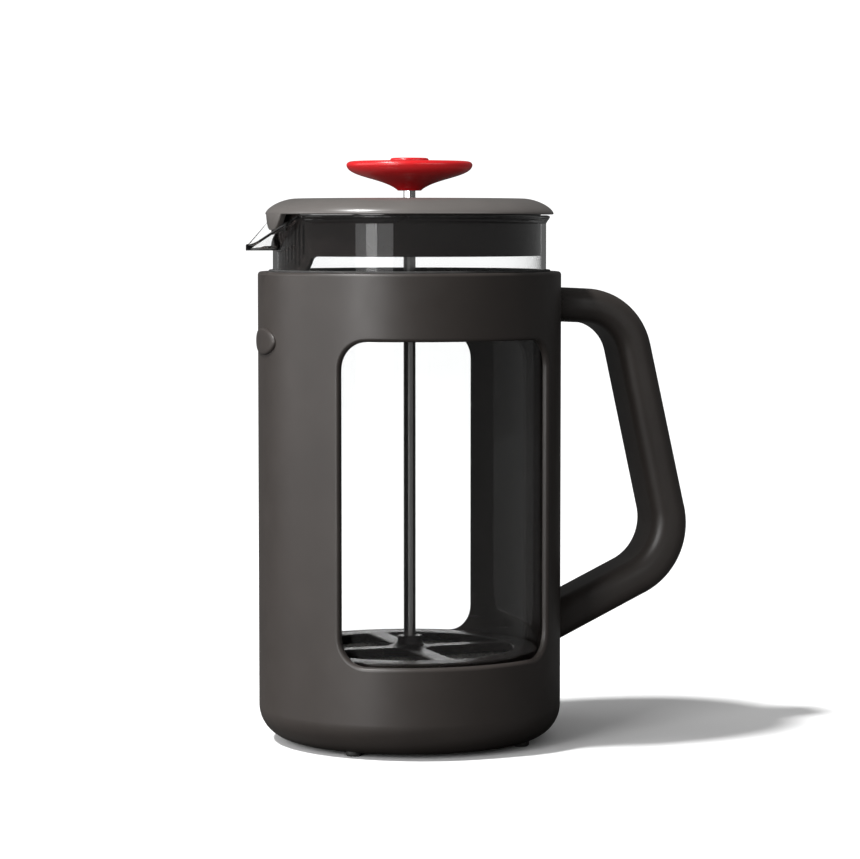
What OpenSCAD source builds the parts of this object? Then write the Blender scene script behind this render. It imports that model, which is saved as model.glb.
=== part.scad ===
// French press: a clear carafe in a windowed sleeve, with a strainer lid and a plunger filter.
// The origin is on the carafe's axis, at the surface the press stands on.
// +Z is up, the handle points to +X, the spout to -X, and the windows face +Y and -Y.

/* [Sleeve] */
// Outer radius of the sleeve
sleeve_r = 55.5; // [54.5:0.1:57]
// Height of the sleeve's top edge
sleeve_top = 172; // [169:0.5:174]
// Thickness of the sleeve's wall
sleeve_wall = 2.5; // [2.3:0.1:3.6]
// Radius of the sleeve's bottom edge
sleeve_foot_r = 12; // [8:0.5:12]
// Half of each window's width, as an angle about the axis
window_turn = 45.4; // [38:0.1:47]
// Height of the windows' lower edge
window_low = 33.3; // [30:0.1:50]
// Height of the windows' upper edge
window_high = 148; // [120:0.5:150]
// Radius of the windows' corners
window_corner = 10; // [6:0.5:14]
// Height of the badge's middle
badge_z = 147; // [130:0.5:152]

/* [Handle] */
// Thickness of the handle, seen from the side
handle_t = 13.2; // [11.5:0.1:14]
// Width of the handle, seen from behind
handle_w = 23; // [18:0.5:26]
// Radius of the handle section's corners
handle_corner = 5.5; // [3:0.1:5.5]

/* [Carafe] */
// Outer radius of the carafe
carafe_r = 50; // [49:0.1:50.2]
// Thickness of the carafe's wall
carafe_wall = 1.7; // [1.4:0.1:1.8]
// Distance from the axis to the spout's tip
spout_reach = 62; // [58:0.5:64]

/* [Lid] */
// Radius of the lid's edge
lid_r = 52.7; // [52.3:0.1:54]
// Height of the lid's flat top
lid_top = 198.5; // [198:0.1:199]
// Height of the skirt's lower edge
skirt_low = 177.7; // [175:0.1:180]
// Number of slots in the strainer panel
slots = 15; // [9:2:15]

/* [Plunger] */
// Radius of the rod
rod_r = 2.2; // [2:0.05:2.3]
// Radius of the filter's top plate
plate_r = 47.2; // [45:0.1:47.5]
// Width of the plates' spokes
spoke_w = 7; // [5:0.5:9]
// Height of the top plate's upper face
plate_top = 34; // [34:0.5:40]

/* [Hidden] */
$fn = 96;

// Gaps: between pieces that move apart, between a turning pair, and at a fixed joint line
clearance = 0.3;
running_fit = 0.05;
joint_line = 0.03;

// Sleeve
foot_proud = 1;                      // the feet stand out this far below the sleeve
floor_top = 4;
sleeve_in = sleeve_r - sleeve_wall;
sleeve_edge = 1.2;                   // rounding of the top edge
lip_in = 51.6;                       // bore of the mouth, which holds the collar ring
ledge_in = 51;                       // bore of the ledge under the collar ring
ring_low = 166;
ring_top = sleeve_top + 0.7;
ring_in = carafe_r + clearance;

// Badge and feet
badge_w = 22.5;
badge_h = 9.6;
badge_depth = 1;                     // depth of its recess, and how far it stands out
foot_ring = 45;
foot_r = 3;
foot_head = 2.5;
stem_r = 1.6;

// Handle: corners of its centre line in the XZ plane, its slopes and the radii of its bends
knee = [82.9, 158.3];
heel = [104, 64.8];
knee_droop = 2.6;
heel_rise = 24.8;
knee_r = 20.5;
heel_r = 23.5;
knee_swell = [0, 0, 0];              // thickness added outside a bend: at its start, end and middle
heel_swell = [0.35, 0.7, 0.7];
handle_root = 46;                    // X where both ends start, inside the sleeve

// Handle screws, along X
screw_z = [158.8, 44];
screw_r = 1.75;
screw_tip = 69;
screw_point = 3;
head_r = 3.5;
head_t = 1.3;
head_in = sleeve_in + clearance;

// Carafe
carafe_low = 6;
carafe_floor = 2.5;
carafe_top = 192.4;
carafe_in = carafe_r - carafe_wall;
carafe_foot_r = 9;
rim_r = carafe_r + 1.4;
rim_low = 189.4;
spout_half = 21;                     // half-angle of the spout's root
spout_keel_z = 184.7;                // the spout is a trough with a round keel
spout_keel_r = 5;
spout_slope = 38;                    // and sides that rise at this angle
spout_low = spout_keel_z - spout_keel_r;
spout_tip_r = 4;
spout_tip_top = 182;
spout_root = -44;

// Lid cover
lid_low = carafe_top + clearance;
lid_edge = 193;                      // where the edge's rounding starts
lid_flat_r = 42;
lid_edge_power = 1.6;                // of the edge's superellipse
cover_in = 196.2;
cover_in_r = 43;
tab_low = 187;
tab_bend = 190;
tab_in = 50.4;
tab_half = 10.4;                     // half-angle of the tab at its top
tab_half_bend = 8.2;                 // at its bend
tab_half_low = 4;                    // and at its lower edge
lid_hole_r = 2.7;

// Lid skirt and strainer panel
skirt_r = carafe_in - clearance;
skirt_wall = 1.6;
skirt_in = skirt_r - skirt_wall;
disc_low = 194.6;
corner_y = 8.2;                      // centres of the panel's lower corners
corner_z = 181.2;
panel_corner = 13;
slot_corner = 9.5;
slot_top = 189;
slot_w = 1.2;
slot_pitch = 2.95;                   // angle from slot to slot

// Rod bush
bush_r = lid_hole_r - running_fit;
bush_bore = rod_r + running_fit;
bush_collar_r = 2.9;
bush_collar_t = 0.35;
bush_lip_r = 3.8;

// Rod, knob and knob cap
rod_low = 22.5;
rod_high = 208.5;
knob_low = 201.4;
knob_r = 23.05;
knob_edge = 210.6;
knob_top = 212.35;
cap_r = 7;
cap_seat = 211.2;
cap_top = 213.4;
insert_r = 3.2;

// Filter
rim_w = 9;
plate_t = 3.3;
hub_r = 4.5;
hub_top = 38;
hub_fillet = 2.8;
mesh_t = 0.8;
mesh_r = 45.3;
mesh_top = plate_top - plate_t;
lower_top = mesh_top - mesh_t;
lower_t = 2;
lower_r = 45;
coil_r = 1.15;                       // radius of the edge spring's coil
coil_ring = 46.7;
nut_flats = 8;
nut_t = 4;

PLASTIC = [0.27, 0.25, 0.24];
LID_GREY = [0.36, 0.34, 0.33];
GLOSS = [0.1, 0.09, 0.09];
RUBBER = [0.12, 0.12, 0.12];
STEEL = [0.75, 0.76, 0.78];
BRASS = [0.78, 0.64, 0.3];
RED = [0.72, 0.07, 0.08];
CLEAR = [0.85, 0.88, 0.88, 0.35];

// ---- Shared shapes ----

// Points along an arc about centre c
function arc(c, r, from, to, n = 10) =
    [for (i = [0:n]) c + r * [cos(from + (to - from) * i / n), sin(from + (to - from) * i / n)]];

// Points along a curve from a to d, leaving towards b and arriving from c
function bezier(a, b, c, d, n = 14) =
    [for (i = [0:n]) let (t = i / n, s = 1 - t)
        s * s * s * a + 3 * s * s * t * b + 3 * s * t * t * c + t * t * t * d];

module turned(points) {
    rotate_extrude($fn = 180) polygon(points);
}

module ring(r_out, r_in, low, high) {
    turned([[r_in, low], [r_out, low], [r_out, high], [r_in, high]]);
}

// A bar from the axis towards the spout, whose outline lies in the YZ plane
module towards_spout() {
    rotate([90, 0, -90]) linear_extrude(height = 70) children();
}

// ---- Sleeve, and what is fixed to it ----

module foot_places() {
    for (a = [45:90:315]) rotate(a) translate([foot_ring, 0, 0]) children();
}

module screw_axes() {
    for (z = screw_z) translate([0, 0, z]) rotate([0, 90, 0]) children();
}

module sleeve_shell() {
    foot_in = sleeve_foot_r - sleeve_wall;
    turned(concat(
        [[0, foot_proud]],
        arc([sleeve_r - sleeve_foot_r, foot_proud + sleeve_foot_r], sleeve_foot_r, -90, 0),
        arc([sleeve_r - sleeve_edge, sleeve_top - sleeve_edge], sleeve_edge, 0, 90, 5),
        [[lip_in, sleeve_top], [lip_in, ring_low], [ledge_in, ring_low], [ledge_in, ring_low - 3],
         [sleeve_in, ring_low - 6]],
        arc([sleeve_in - foot_in, floor_top + foot_in], foot_in, 0, -90),
        [[0, floor_top]]));
}

// Points round a window as [angle, height], for an outline that is wrapped round the sleeve
function window_outline() =
    let (degree = (sleeve_r - sleeve_wall / 2) * PI / 180,
         side = window_turn * degree - window_corner,
         low = window_low + window_corner,
         high = window_high - window_corner)
    [for (q = concat(arc([side, high], window_corner, 0, 90, 6), arc([-side, high], window_corner, 90, 180, 6),
                     arc([-side, low], window_corner, 180, 270, 6), arc([side, low], window_corner, 270, 360, 6)))
        [q.x / degree, q.y]];

// A window's space, cut straight in towards the axis, with a peak at each end
module window_cut() {
    outline = window_outline();
    m = len(outline);
    middle = (window_low + window_high) / 2;
    polyhedron(
        points = concat(
            [for (r = [0.7, 1.4] * sleeve_r, q = outline) [r * cos(q.x), r * sin(q.x), q.y]],
            [[0, 0, middle], [2 * sleeve_r, 0, middle]]),
        faces = [for (j = [0:m - 1], part = [0:3]) let (k = (j + 1) % m)
            [[2 * m, j, k], [m + j, m + k, k], [m + j, k, j], [2 * m + 1, m + k, m + j]][part]]);
}

module badge_bar(grow = 0) {
    translate([0, 0, badge_z]) towards_spout()
        polygon([for (i = [0:47])
            [(badge_w / 2 + grow) * cos(7.5 * i), (badge_h / 2 + grow) * sin(7.5 * i)]]);
}

module sleeve() color(PLASTIC) difference() {
    sleeve_shell();
    for (a = [-90, 90]) rotate(a) window_cut();
    screw_axes() {
        cylinder(r = screw_r + running_fit, h = sleeve_r + 5);
        cylinder(r = head_r + running_fit, h = head_in + head_t + joint_line);
    }
    foot_places() {
        cylinder(r = foot_r + running_fit, h = foot_head + joint_line);
        cylinder(r = stem_r + running_fit, h = floor_top + 1);
    }
    intersection() {
        badge_bar(running_fit);
        ring(sleeve_r + 5, sleeve_r - badge_depth, badge_z - badge_h, badge_z + badge_h);
    }
}

module badge() color(PLASTIC) intersection() {
    badge_bar();
    ring(sleeve_r + badge_depth, sleeve_r - badge_depth + joint_line, badge_z - badge_h, badge_z + badge_h);
}

module feet() color(RUBBER) foot_places() {
    cylinder(r = foot_r, h = foot_head);
    cylinder(r = stem_r, h = floor_top);
}

module base_pad() color(RUBBER) ring(38, 24, floor_top, carafe_low - 0.05);

module collar_ring() color(RUBBER) turned(concat(
    [[ring_in, ring_low], [lip_in - joint_line, ring_low]],
    arc([lip_in - joint_line - 0.5, ring_top - 0.5], 0.5, 0, 90, 4),
    arc([ring_in + 0.5, ring_top - 0.5], 0.5, 90, 180, 4)));

// Points round the handle's section: x is across the grip in the XZ plane, y is along Y
function handle_section(n = 6) = concat(
    arc([handle_t / 2 - handle_corner, handle_w / 2 - handle_corner], handle_corner, 0, 90, n),
    arc([handle_corner - handle_t / 2, handle_w / 2 - handle_corner], handle_corner, 90, 180, n),
    arc([handle_corner - handle_t / 2, handle_corner - handle_w / 2], handle_corner, 180, 270, n),
    arc([handle_t / 2 - handle_corner, handle_corner - handle_w / 2], handle_corner, 270, 360, n));

// Stations of a clockwise bend at a corner of the centre line, as [point, heading, swell]
function handle_bend(corner, heading, turn, r, swell, n = 10) =
    let (start = corner - r * tan(turn / 2) * [cos(heading), sin(heading)],
         centre = start + r * [cos(heading - 90), sin(heading - 90)])
    [for (i = [0:n]) let (way = heading - turn * i / n)
        [centre + r * [cos(way + 90), sin(way + 90)], way,
         swell[0] + (swell[1] - swell[0]) * i / n + swell[2] * sin(180 * i / n)]];

// Stations of the whole centre line, from the sleeve round to the sleeve again
function handle_stations() =
    let (lean = atan2(heel.x - knee.x, knee.y - heel.y),
         grip_way = lean - 90,
         low_way = heel_rise - 180,
         from_knee = handle_root - knee.x,
         from_heel = handle_root - heel.x)
    concat(
        [[[handle_root, knee.y - from_knee * tan(knee_droop)], -knee_droop, knee_swell[0]]],
        handle_bend(knee, -knee_droop, -knee_droop - grip_way, knee_r, knee_swell),
        handle_bend(heel, grip_way, grip_way - low_way, heel_r, heel_swell),
        [[[handle_root, heel.y + from_heel * tan(heel_rise)], low_way, heel_swell[1]]]);

module handle_sweep() {
    section = handle_section();
    stations = handle_stations();
    m = len(section);
    last = len(stations) - 1;
    polyhedron(
        points = [for (s = stations, q = section)
            let (out = q.x > 0 ? q.x + s[2] : q.x,
                 at = s[0] + out * [cos(s[1] + 90), sin(s[1] + 90)]) [at.x, q.y, at.y]],
        faces = concat(
            [[for (j = [0:m - 1]) j]],
            [for (i = [0:last - 1], j = [0:m - 1]) let (k = (j + 1) % m)
                [i * m + j, (i + 1) * m + j, (i + 1) * m + k, i * m + k]],
            [[for (j = [m - 1:-1:0]) last * m + j]]));
}

module handle() color(PLASTIC) difference() {
    handle_sweep();
    cylinder(r = sleeve_r + joint_line, h = 400, center = true);
    screw_axes() cylinder(r = screw_r + joint_line, h = screw_tip + 1);
}

module handle_screws() color(STEEL) screw_axes() difference() {
    union() {
        translate([0, 0, head_in]) cylinder(r = head_r, h = head_t);
        translate([0, 0, head_in]) cylinder(r = screw_r, h = screw_tip - screw_point - head_in);
        translate([0, 0, screw_tip - screw_point]) cylinder(r1 = screw_r, r2 = 0.3, h = screw_point);
    }
    for (a = [0, 90]) rotate(a) translate([0, 0, head_in]) cube([4, 0.9, 1.6], center = true);
}

// ---- Carafe ----

// The spout's outline seen from the front, open upwards, moved inwards by t
module spout_trough(t) {
    far = 2 * carafe_r;
    r = spout_keel_r - t;
    high = spout_keel_z - r / cos(spout_slope) + far * tan(spout_slope);
    polygon(concat(arc([0, spout_keel_z], r, -90 - spout_slope, spout_slope - 90),
                   [[far, high], [-far, high]]));
}

// The spout from its root in the wall to its tip, moved inwards by t
module spout(t, root_top, tip_top) {
    low = spout_low + t;
    intersection() {
        hull() {
            intersection() {
                translate([0, 0, low]) cylinder(r = carafe_r - t, h = root_top - low);
                translate([spout_root - 30, 0, low])
                    cube([60, 2 * (carafe_r * sin(spout_half) - t), 200], center = true);
            }
            translate([spout_tip_r - spout_reach, 0, low])
                cylinder(r = spout_tip_r - t, h = tip_top - low, $fn = 32);
        }
        towards_spout() spout_trough(t);
    }
}

module carafe() color(CLEAR) difference() {
    union() {
        turned(concat(
            [[0, carafe_low]],
            arc([carafe_r - carafe_foot_r, carafe_low + carafe_foot_r], carafe_foot_r, -90, 0),
            [[carafe_r, rim_low]],
            arc([rim_r - 0.7, carafe_top - 0.7], 0.7, 0, 90, 4),
            [[0, carafe_top]]));
        spout(0, carafe_top, spout_tip_top);
    }
    turned(concat(
        [[0, carafe_low + carafe_floor]],
        arc([carafe_in - carafe_foot_r, carafe_low + carafe_floor + carafe_foot_r], carafe_foot_r, -90, 0),
        [[carafe_in, carafe_top + 10], [0, carafe_top + 10]]));
    spout(carafe_wall, carafe_top + 10, carafe_top + 10);
}

// ---- Lid ----

module lid_tab() {
    sides = lid_r * [for (a = [tab_half, tab_half, tab_half_bend, tab_half_low]) sin(a)];
    heights = [lid_edge, lid_low, tab_bend, tab_low];
    intersection() {
        ring(lid_r, tab_in, tab_low, lid_edge);
        towards_spout() polygon(concat([for (i = [0:3]) [-sides[i], heights[i]]],
                                       [for (i = [3:-1:0]) [sides[i], heights[i]]]));
    }
}

module lid_cover() color(LID_GREY) difference() {
    union() {
        // The edge follows a superellipse from the rim up to the flat top
        turned(concat(
            [[tab_in, lid_low], [lid_r, lid_low]],
            [for (i = [0:14]) let (power = 2 / lid_edge_power)
                [lid_flat_r + (lid_r - lid_flat_r) * pow(cos(90 * i / 14), power),
                 lid_edge + (lid_top - lid_edge) * pow(sin(90 * i / 14), power)]],
            [[0, lid_top], [0, cover_in], [cover_in_r, cover_in], [tab_in, lid_edge]]));
        lid_tab();
    }
    cylinder(r = lid_hole_r, h = 400);
}

// Outline of a panel with two round lower corners, in the YZ plane
module panel_outline(corner, top) {
    half = corner_y + corner;
    for (y = [-corner_y, corner_y]) translate([y, corner_z]) circle(r = corner);
    translate([-corner_y, corner_z - corner]) square([2 * corner_y, top - corner_z + corner]);
    translate([-half, corner_z]) square([2 * half, top - corner_z]);
}

module strainer_slots() {
    intersection() {
        towards_spout() panel_outline(slot_corner, slot_top);
        for (i = [(1 - slots) / 2:(slots - 1) / 2]) rotate(i * slot_pitch)
            translate([-skirt_r - 5, -slot_w / 2, 160]) cube([12, slot_w, 40]);
    }
}

module lid_skirt() color(GLOSS) difference() {
    union() {
        turned([[skirt_in, skirt_low], [skirt_r, skirt_low], [skirt_r, disc_low - 0.8],
                [skirt_r - 1, disc_low - 0.3], [cover_in_r, cover_in - joint_line],
                [0, cover_in - joint_line], [0, disc_low], [skirt_in - 4, disc_low],
                [skirt_in, disc_low - 2]]);
        intersection() {
            ring(skirt_r, skirt_in, corner_z - panel_corner - 1, skirt_low + 1);
            towards_spout() panel_outline(panel_corner, skirt_low + 5);
        }
    }
    cylinder(r = lid_hole_r, h = 400);
    strainer_slots();
}

module rod_bush() color(GLOSS) turned([
    [bush_bore, disc_low - 0.9], [bush_lip_r, disc_low - 0.9], [bush_lip_r, disc_low - running_fit],
    [bush_r, disc_low - running_fit], [bush_r, lid_top + running_fit],
    [bush_collar_r, lid_top + running_fit], [bush_collar_r - 0.1, lid_top + bush_collar_t],
    [bush_bore, lid_top + bush_collar_t]]);

// ---- Plunger ----

module rod() color(STEEL) turned([
    [0, rod_low], [rod_r - 0.4, rod_low], [rod_r, rod_low + 0.4], [rod_r, rod_high - 0.4],
    [rod_r - 0.4, rod_high], [0, rod_high]]);

module knob() color(RED) turned(concat(
    [[rod_r + joint_line, knob_low]],
    bezier([4.3, knob_low], [10, knob_low + 4.6], [22.5, knob_edge - 4.4], [knob_r, knob_edge]),
    bezier([knob_r, knob_edge], [knob_r, 211.6], [22.2, 212.1], [20.5, 212.15], 6),
    [[cap_r + joint_line, knob_top], [cap_r + joint_line, cap_seat], [0, cap_seat], [0, rod_high + 0.5],
     [insert_r + joint_line, rod_high + 0.5], [insert_r + joint_line, knob_low + 1],
     [rod_r + joint_line, knob_low + 1]]));

module knob_cap() color(RED) turned(concat(
    [[0, cap_seat + joint_line], [cap_r, cap_seat + joint_line]],
    arc([cap_r - 0.6, cap_top - 0.75], 0.6, 0, 80, 4),
    [[0, cap_top]]));

module knob_insert() color(BRASS) ring(insert_r, rod_r + joint_line, knob_low + 1.1, rod_high - 0.1);

// A wheel with four spokes along X and Y
module spoked_wheel(r, thick) {
    difference() {
        cylinder(r = r, h = thick, $fn = 180);
        difference() {
            translate([0, 0, -1]) cylinder(r = r - rim_w, h = thick + 2, $fn = 180);
            for (a = [0, 90]) rotate(a) cube([2 * r, spoke_w, 4 * thick], center = true);
            cylinder(r = hub_r + hub_fillet, h = 4 * thick, center = true);
        }
    }
}

module spider_plate() color(GLOSS) difference() {
    union() {
        translate([0, 0, mesh_top]) spoked_wheel(plate_r, plate_t);
        turned(concat(
            [[0, plate_top - 1], [hub_r + hub_fillet, plate_top - 1]],
            arc([hub_r + hub_fillet, plate_top + hub_fillet], hub_fillet, -90, -180, 6),
            arc([hub_r - 0.5, hub_top - 0.5], 0.5, 0, 90, 4),
            [[0, hub_top]]));
    }
    cylinder(r = rod_r + joint_line, h = 100);
    translate([0, 0, mesh_top + 0.8]) cylinder(r = insert_r + joint_line, h = hub_top - mesh_top - 1.8);
}

module hub_insert() color(BRASS) ring(insert_r, rod_r + joint_line, mesh_top + 0.9, hub_top - 1.1);

module mesh_screen() color(STEEL) ring(mesh_r, rod_r + joint_line, lower_top, mesh_top);

module edge_spring() color(STEEL) rotate_extrude($fn = 180)
    translate([coil_ring, mesh_top - coil_r - joint_line]) circle(r = coil_r, $fn = 32);

module lower_plate() color(GLOSS) difference() {
    translate([0, 0, lower_top - lower_t]) spoked_wheel(lower_r, lower_t);
    cylinder(r = rod_r + joint_line, h = 100);
}

module clamp_nut() color(STEEL) translate([0, 0, lower_top - lower_t - nut_t]) difference() {
    cylinder(r = nut_flats / sqrt(3), h = nut_t, $fn = 6);
    translate([0, 0, -1]) cylinder(r = rod_r + joint_line, h = nut_t + 2);
}

sleeve();
handle();
handle_screws();
badge();
feet();
base_pad();
collar_ring();
carafe();
lid_cover();
lid_skirt();
rod_bush();
rod();
knob();
knob_cap();
knob_insert();
spider_plate();
hub_insert();
mesh_screen();
edge_spring();
lower_plate();
clamp_nut();
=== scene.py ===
import math

import bmesh
import bpy
import numpy as np
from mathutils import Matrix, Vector


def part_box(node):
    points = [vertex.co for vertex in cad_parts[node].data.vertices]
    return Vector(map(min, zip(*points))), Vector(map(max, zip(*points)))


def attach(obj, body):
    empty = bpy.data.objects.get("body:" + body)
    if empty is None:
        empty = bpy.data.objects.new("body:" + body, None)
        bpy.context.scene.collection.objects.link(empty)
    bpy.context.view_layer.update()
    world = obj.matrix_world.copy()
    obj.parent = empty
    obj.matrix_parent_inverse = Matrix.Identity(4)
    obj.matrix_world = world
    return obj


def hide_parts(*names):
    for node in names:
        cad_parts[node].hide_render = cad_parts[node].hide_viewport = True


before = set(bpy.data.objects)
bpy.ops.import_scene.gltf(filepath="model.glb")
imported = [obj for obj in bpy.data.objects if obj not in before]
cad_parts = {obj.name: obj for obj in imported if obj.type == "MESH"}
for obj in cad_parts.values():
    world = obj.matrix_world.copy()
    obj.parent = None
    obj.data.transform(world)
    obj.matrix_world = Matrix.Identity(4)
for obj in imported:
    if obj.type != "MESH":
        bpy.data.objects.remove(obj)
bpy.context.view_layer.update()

# The looks of a french press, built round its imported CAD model. Lengths here are millimetres in the
# CAD's own frame (+Z up, handle at +X, spout at -X) and become metres only when a mesh is made.

MM = 0.001
WELD = 2e-7           # metres within which two points are one
ON_AXIS = 1e-6        # radius in millimetres under which a point is a pole


def cad(node):
    """Lowest and highest corner of a CAD node at rest, in millimetres."""
    low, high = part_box(node)
    return Vector(low) / MM, Vector(high) / MM


# ---------------------------------------------------------------- sizes

SLEEVE_LOW, SLEEVE_HIGH = cad("sleeve")
SLEEVE_R = SLEEVE_HIGH.x
SLEEVE_TOP = SLEEVE_HIGH.z
SLEEVE_BOTTOM = SLEEVE_LOW.z
SLEEVE_WALL = 2.5
SLEEVE_IN = SLEEVE_R - SLEEVE_WALL
SLEEVE_FOOT = 12.0
SLEEVE_FLOOR = 4.0
RING_LOW = cad("collar_ring")[0].z
RING_TOP = cad("collar_ring")[1].z
RING_OUT = cad("collar_ring")[1].x
LEDGE_IN = 51.0

WINDOW_TURN = math.radians(45.4)            # half of a window's width
WINDOW_ARM = SLEEVE_R - SLEEVE_WALL / 2     # radius at which a window's outline is true
WINDOW_LOW = 33.3
WINDOW_HIGH = 148.0
WINDOW_CORNER = 10.0
WINDOW_EDGE = 1.4
WINDOW_INNER_EDGE = 0.4

HANDLE_LOW, HANDLE_HIGH = cad("handle")
HANDLE_W = HANDLE_HIGH.y - HANDLE_LOW.y
HANDLE_T = 13.2
HANDLE_CORNER = 5.5
KNEE = Vector((82.9, 158.3))
HEEL = Vector((104.0, 64.8))
KNEE_DROOP = 2.6
HEEL_RISE = 24.8
KNEE_R = 20.5
HEEL_R = 23.5
KNEE_SWELL = (0.0, 0.0, 0.0)                # thickness added outside a bend: start, end, middle
HEEL_SWELL = (0.28, 0.6, 0.66)
HANDLE_SLIM = 0.5                           # thickness missing where the upper arm starts
SLIM_STATIONS = 14                          # stations over which it grows back
END_INSETS = (0.45, 0.12, 0.0)              # rounding of the handle's ends
END_GAP = 0.05                              # between the handle and the sleeve's skin

CARAFE_LOW, CARAFE_HIGH = cad("carafe")
CARAFE_R = 50.0
CARAFE_WALL = 1.7
CARAFE_TOP = CARAFE_HIGH.z
CARAFE_FOOT = 9.0
RIM_FLARE = CARAFE_HIGH.x - CARAFE_R
SPOUT_HALF = 21.0
KEEL_Z = 184.7
KEEL_R = 5.0
SPOUT_SLOPE = math.radians(38)
SPOUT_TIP_R = 4.0
SPOUT_REACH = -CARAFE_LOW.x
SPOUT_TIP_TOP = 182.0
TIP_HALF = 3.2                              # half-width of the tip's level edge
ROOT_POWER = 70                             # how sharply the spout's sides leave the round wall
WALL_MIDDLE = 120.0                         # heights of two rows in the plain wall
WALL_UPPER = 172.0

LID_LOW = 192.7
LID_R = cad("lid_cover")[1].x
LID_TOP = cad("lid_cover")[1].z
LID_FLAT_R = 42.0
LID_EDGE = 193.0
LID_EDGE_POWER = 1.6
LID_HOLE = 2.7
LID_UNDER = 196.2                           # height of the dome's flat underside
TAB_LOW = cad("lid_cover")[0].z
TAB_IN = 50.4
# How far down the tab hangs, as a share, at angles from its middle
TAB_EDGE = [(0, 1), (2.5, 0.99), (4, 0.94), (5.5, 0.83), (7, 0.66), (8.2, 0.47), (9.3, 0.25), (10.4, 0)]

SKIRT_R = cad("lid_skirt")[1].x
SKIRT_WALL = 1.6
SKIRT_LOW = 177.7
SKIRT_DISC = 194.6
PANEL_LOW = cad("lid_skirt")[0].z
PANEL_CORNER = 13.0
PANEL_CORNER_Y = 8.2
PANEL_FILLET = 2.5
SLOT_CORNER = 9.5
SLOT_TOP = 189.0
SLOT_W = 1.2
SLOT_PITCH = 2.95
SLOTS = 15
SLOT_REACH = 17.6                           # half-width of the panel that has room for slots
PANEL_SPAN = 29.2                           # half-angle of the finely divided part of the skirt

ROD_LOW, ROD_HIGH = cad("rod")
ROD_R = ROD_HIGH.x
BUSH_LOW, BUSH_HIGH = cad("rod_bush")
KNOB_LOW, KNOB_HIGH = cad("knob")
KNOB_R = KNOB_HIGH.x
KNOB_EDGE = 210.6
CAP_LOW, CAP_HIGH = cad("knob_cap")
CAP_R = CAP_HIGH.x

PLATE_LOW, PLATE_HIGH = cad("spider_plate")
PLATE_R = PLATE_HIGH.x
PLATE_TOP = 34.0
HUB_TOP = PLATE_HIGH.z
HUB_R = 4.5
HUB_FILLET = 2.8
RIM_W = 9.0
SPOKE_W = 7.0
LOWER_LOW, LOWER_HIGH = cad("lower_plate")
MESH_LOW, MESH_HIGH = cad("mesh_screen")
COIL_LOW, COIL_HIGH = cad("edge_spring")


# ---------------------------------------------------------------- mesh helpers

def put(name, data):
    """An object in the scene, of a mesh or of other data."""
    ob = bpy.data.objects.new(name, data)
    bpy.context.collection.objects.link(ob)
    return ob


def stand(name, mesh):
    """An object of a mesh, shaded smooth."""
    mesh.shade_smooth()
    return put(name, mesh)


def sharpen(ob, angle):
    """Marks edges where faces meet more sharply than an angle."""
    ob.data.set_sharp_from_angle(angle=math.radians(angle))


def points_mesh(name, verts, faces):
    """A mesh from points in millimetres."""
    mesh = bpy.data.meshes.new(name)
    mesh.from_pydata([tuple(c * MM for c in v) for v in verts], [], faces)
    return mesh


def make(name, verts, faces):
    """A mesh object from points in millimetres, welded, with its faces turned outwards."""
    mesh = points_mesh(name, verts, faces)
    bm = bmesh.new()
    bm.from_mesh(mesh)
    bmesh.ops.remove_doubles(bm, verts=bm.verts, dist=WELD)
    bmesh.ops.dissolve_degenerate(bm, edges=bm.edges, dist=1e-8)
    bmesh.ops.recalc_face_normals(bm, faces=bm.faces)
    bm.to_mesh(mesh)
    bm.free()
    return stand(name, mesh)


def join(name, parts):
    """One object out of several."""
    mesh = bpy.data.meshes.new(name)
    bm = bmesh.new()
    for part in parts:
        bm.from_mesh(part.data)
    bm.to_mesh(mesh)
    bm.free()
    for part in parts:
        old = part.data
        bpy.data.objects.remove(part)
        bpy.data.meshes.remove(old)
    return stand(name, mesh)


def arc(centre, r, start, end, steps):
    """Points along an arc in a plane, angles in degrees."""
    angles = [math.radians(start + (end - start) * i / steps) for i in range(steps + 1)]
    return [Vector((centre[0] + r * math.cos(a), centre[1] + r * math.sin(a))) for a in angles]


def bezier(a, b, c, d, steps):
    a, b, c, d = map(Vector, (a, b, c, d))
    ts = [i / steps for i in range(steps + 1)]
    return [a * (1 - t) ** 3 + b * 3 * t * (1 - t) ** 2 + c * 3 * t * t * (1 - t) + d * t ** 3 for t in ts]


def rounded(points, steps=5, hold=0.15):
    """A closed outline of (a, b) or (a, b, radius): a corner with a radius becomes an arc, with a point
    close by on each side that keeps the flats flat."""
    out = []
    for i, p in enumerate(points):
        here = Vector(p[:2])
        if len(p) < 3:
            out.append(here)
            continue
        u = (Vector(points[i - 1][:2]) - here).normalized()
        v = (Vector(points[(i + 1) % len(points)][:2]) - here).normalized()
        half = u.angle(v) / 2
        start = here + u * (p[2] / math.tan(half))
        end = here + v * (p[2] / math.tan(half))
        centre = here + (u + v).normalized() * (p[2] / math.sin(half))
        a, b = start - centre, end - centre
        turn = a.angle_signed(b)
        first = math.degrees(math.atan2(a.y, a.x))
        out.append(start + u * hold)
        out.extend(arc(centre, p[2], first, first - math.degrees(turn), steps))
        out.append(end + v * hold)
    return out


def strip_face(i, j, n, profile):
    """Points of the face between rows i and i + 1 and columns j and j + 1 of n, three beside a pole."""
    k, m = (i + 1) % len(profile), (j + 1) % n
    quad = [i * n + j, i * n + m, k * n + m, k * n + j]
    if profile[i].x < ON_AXIS:
        return quad[1:]
    if profile[k].x < ON_AXIS:
        return quad[:3]
    return quad


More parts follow.
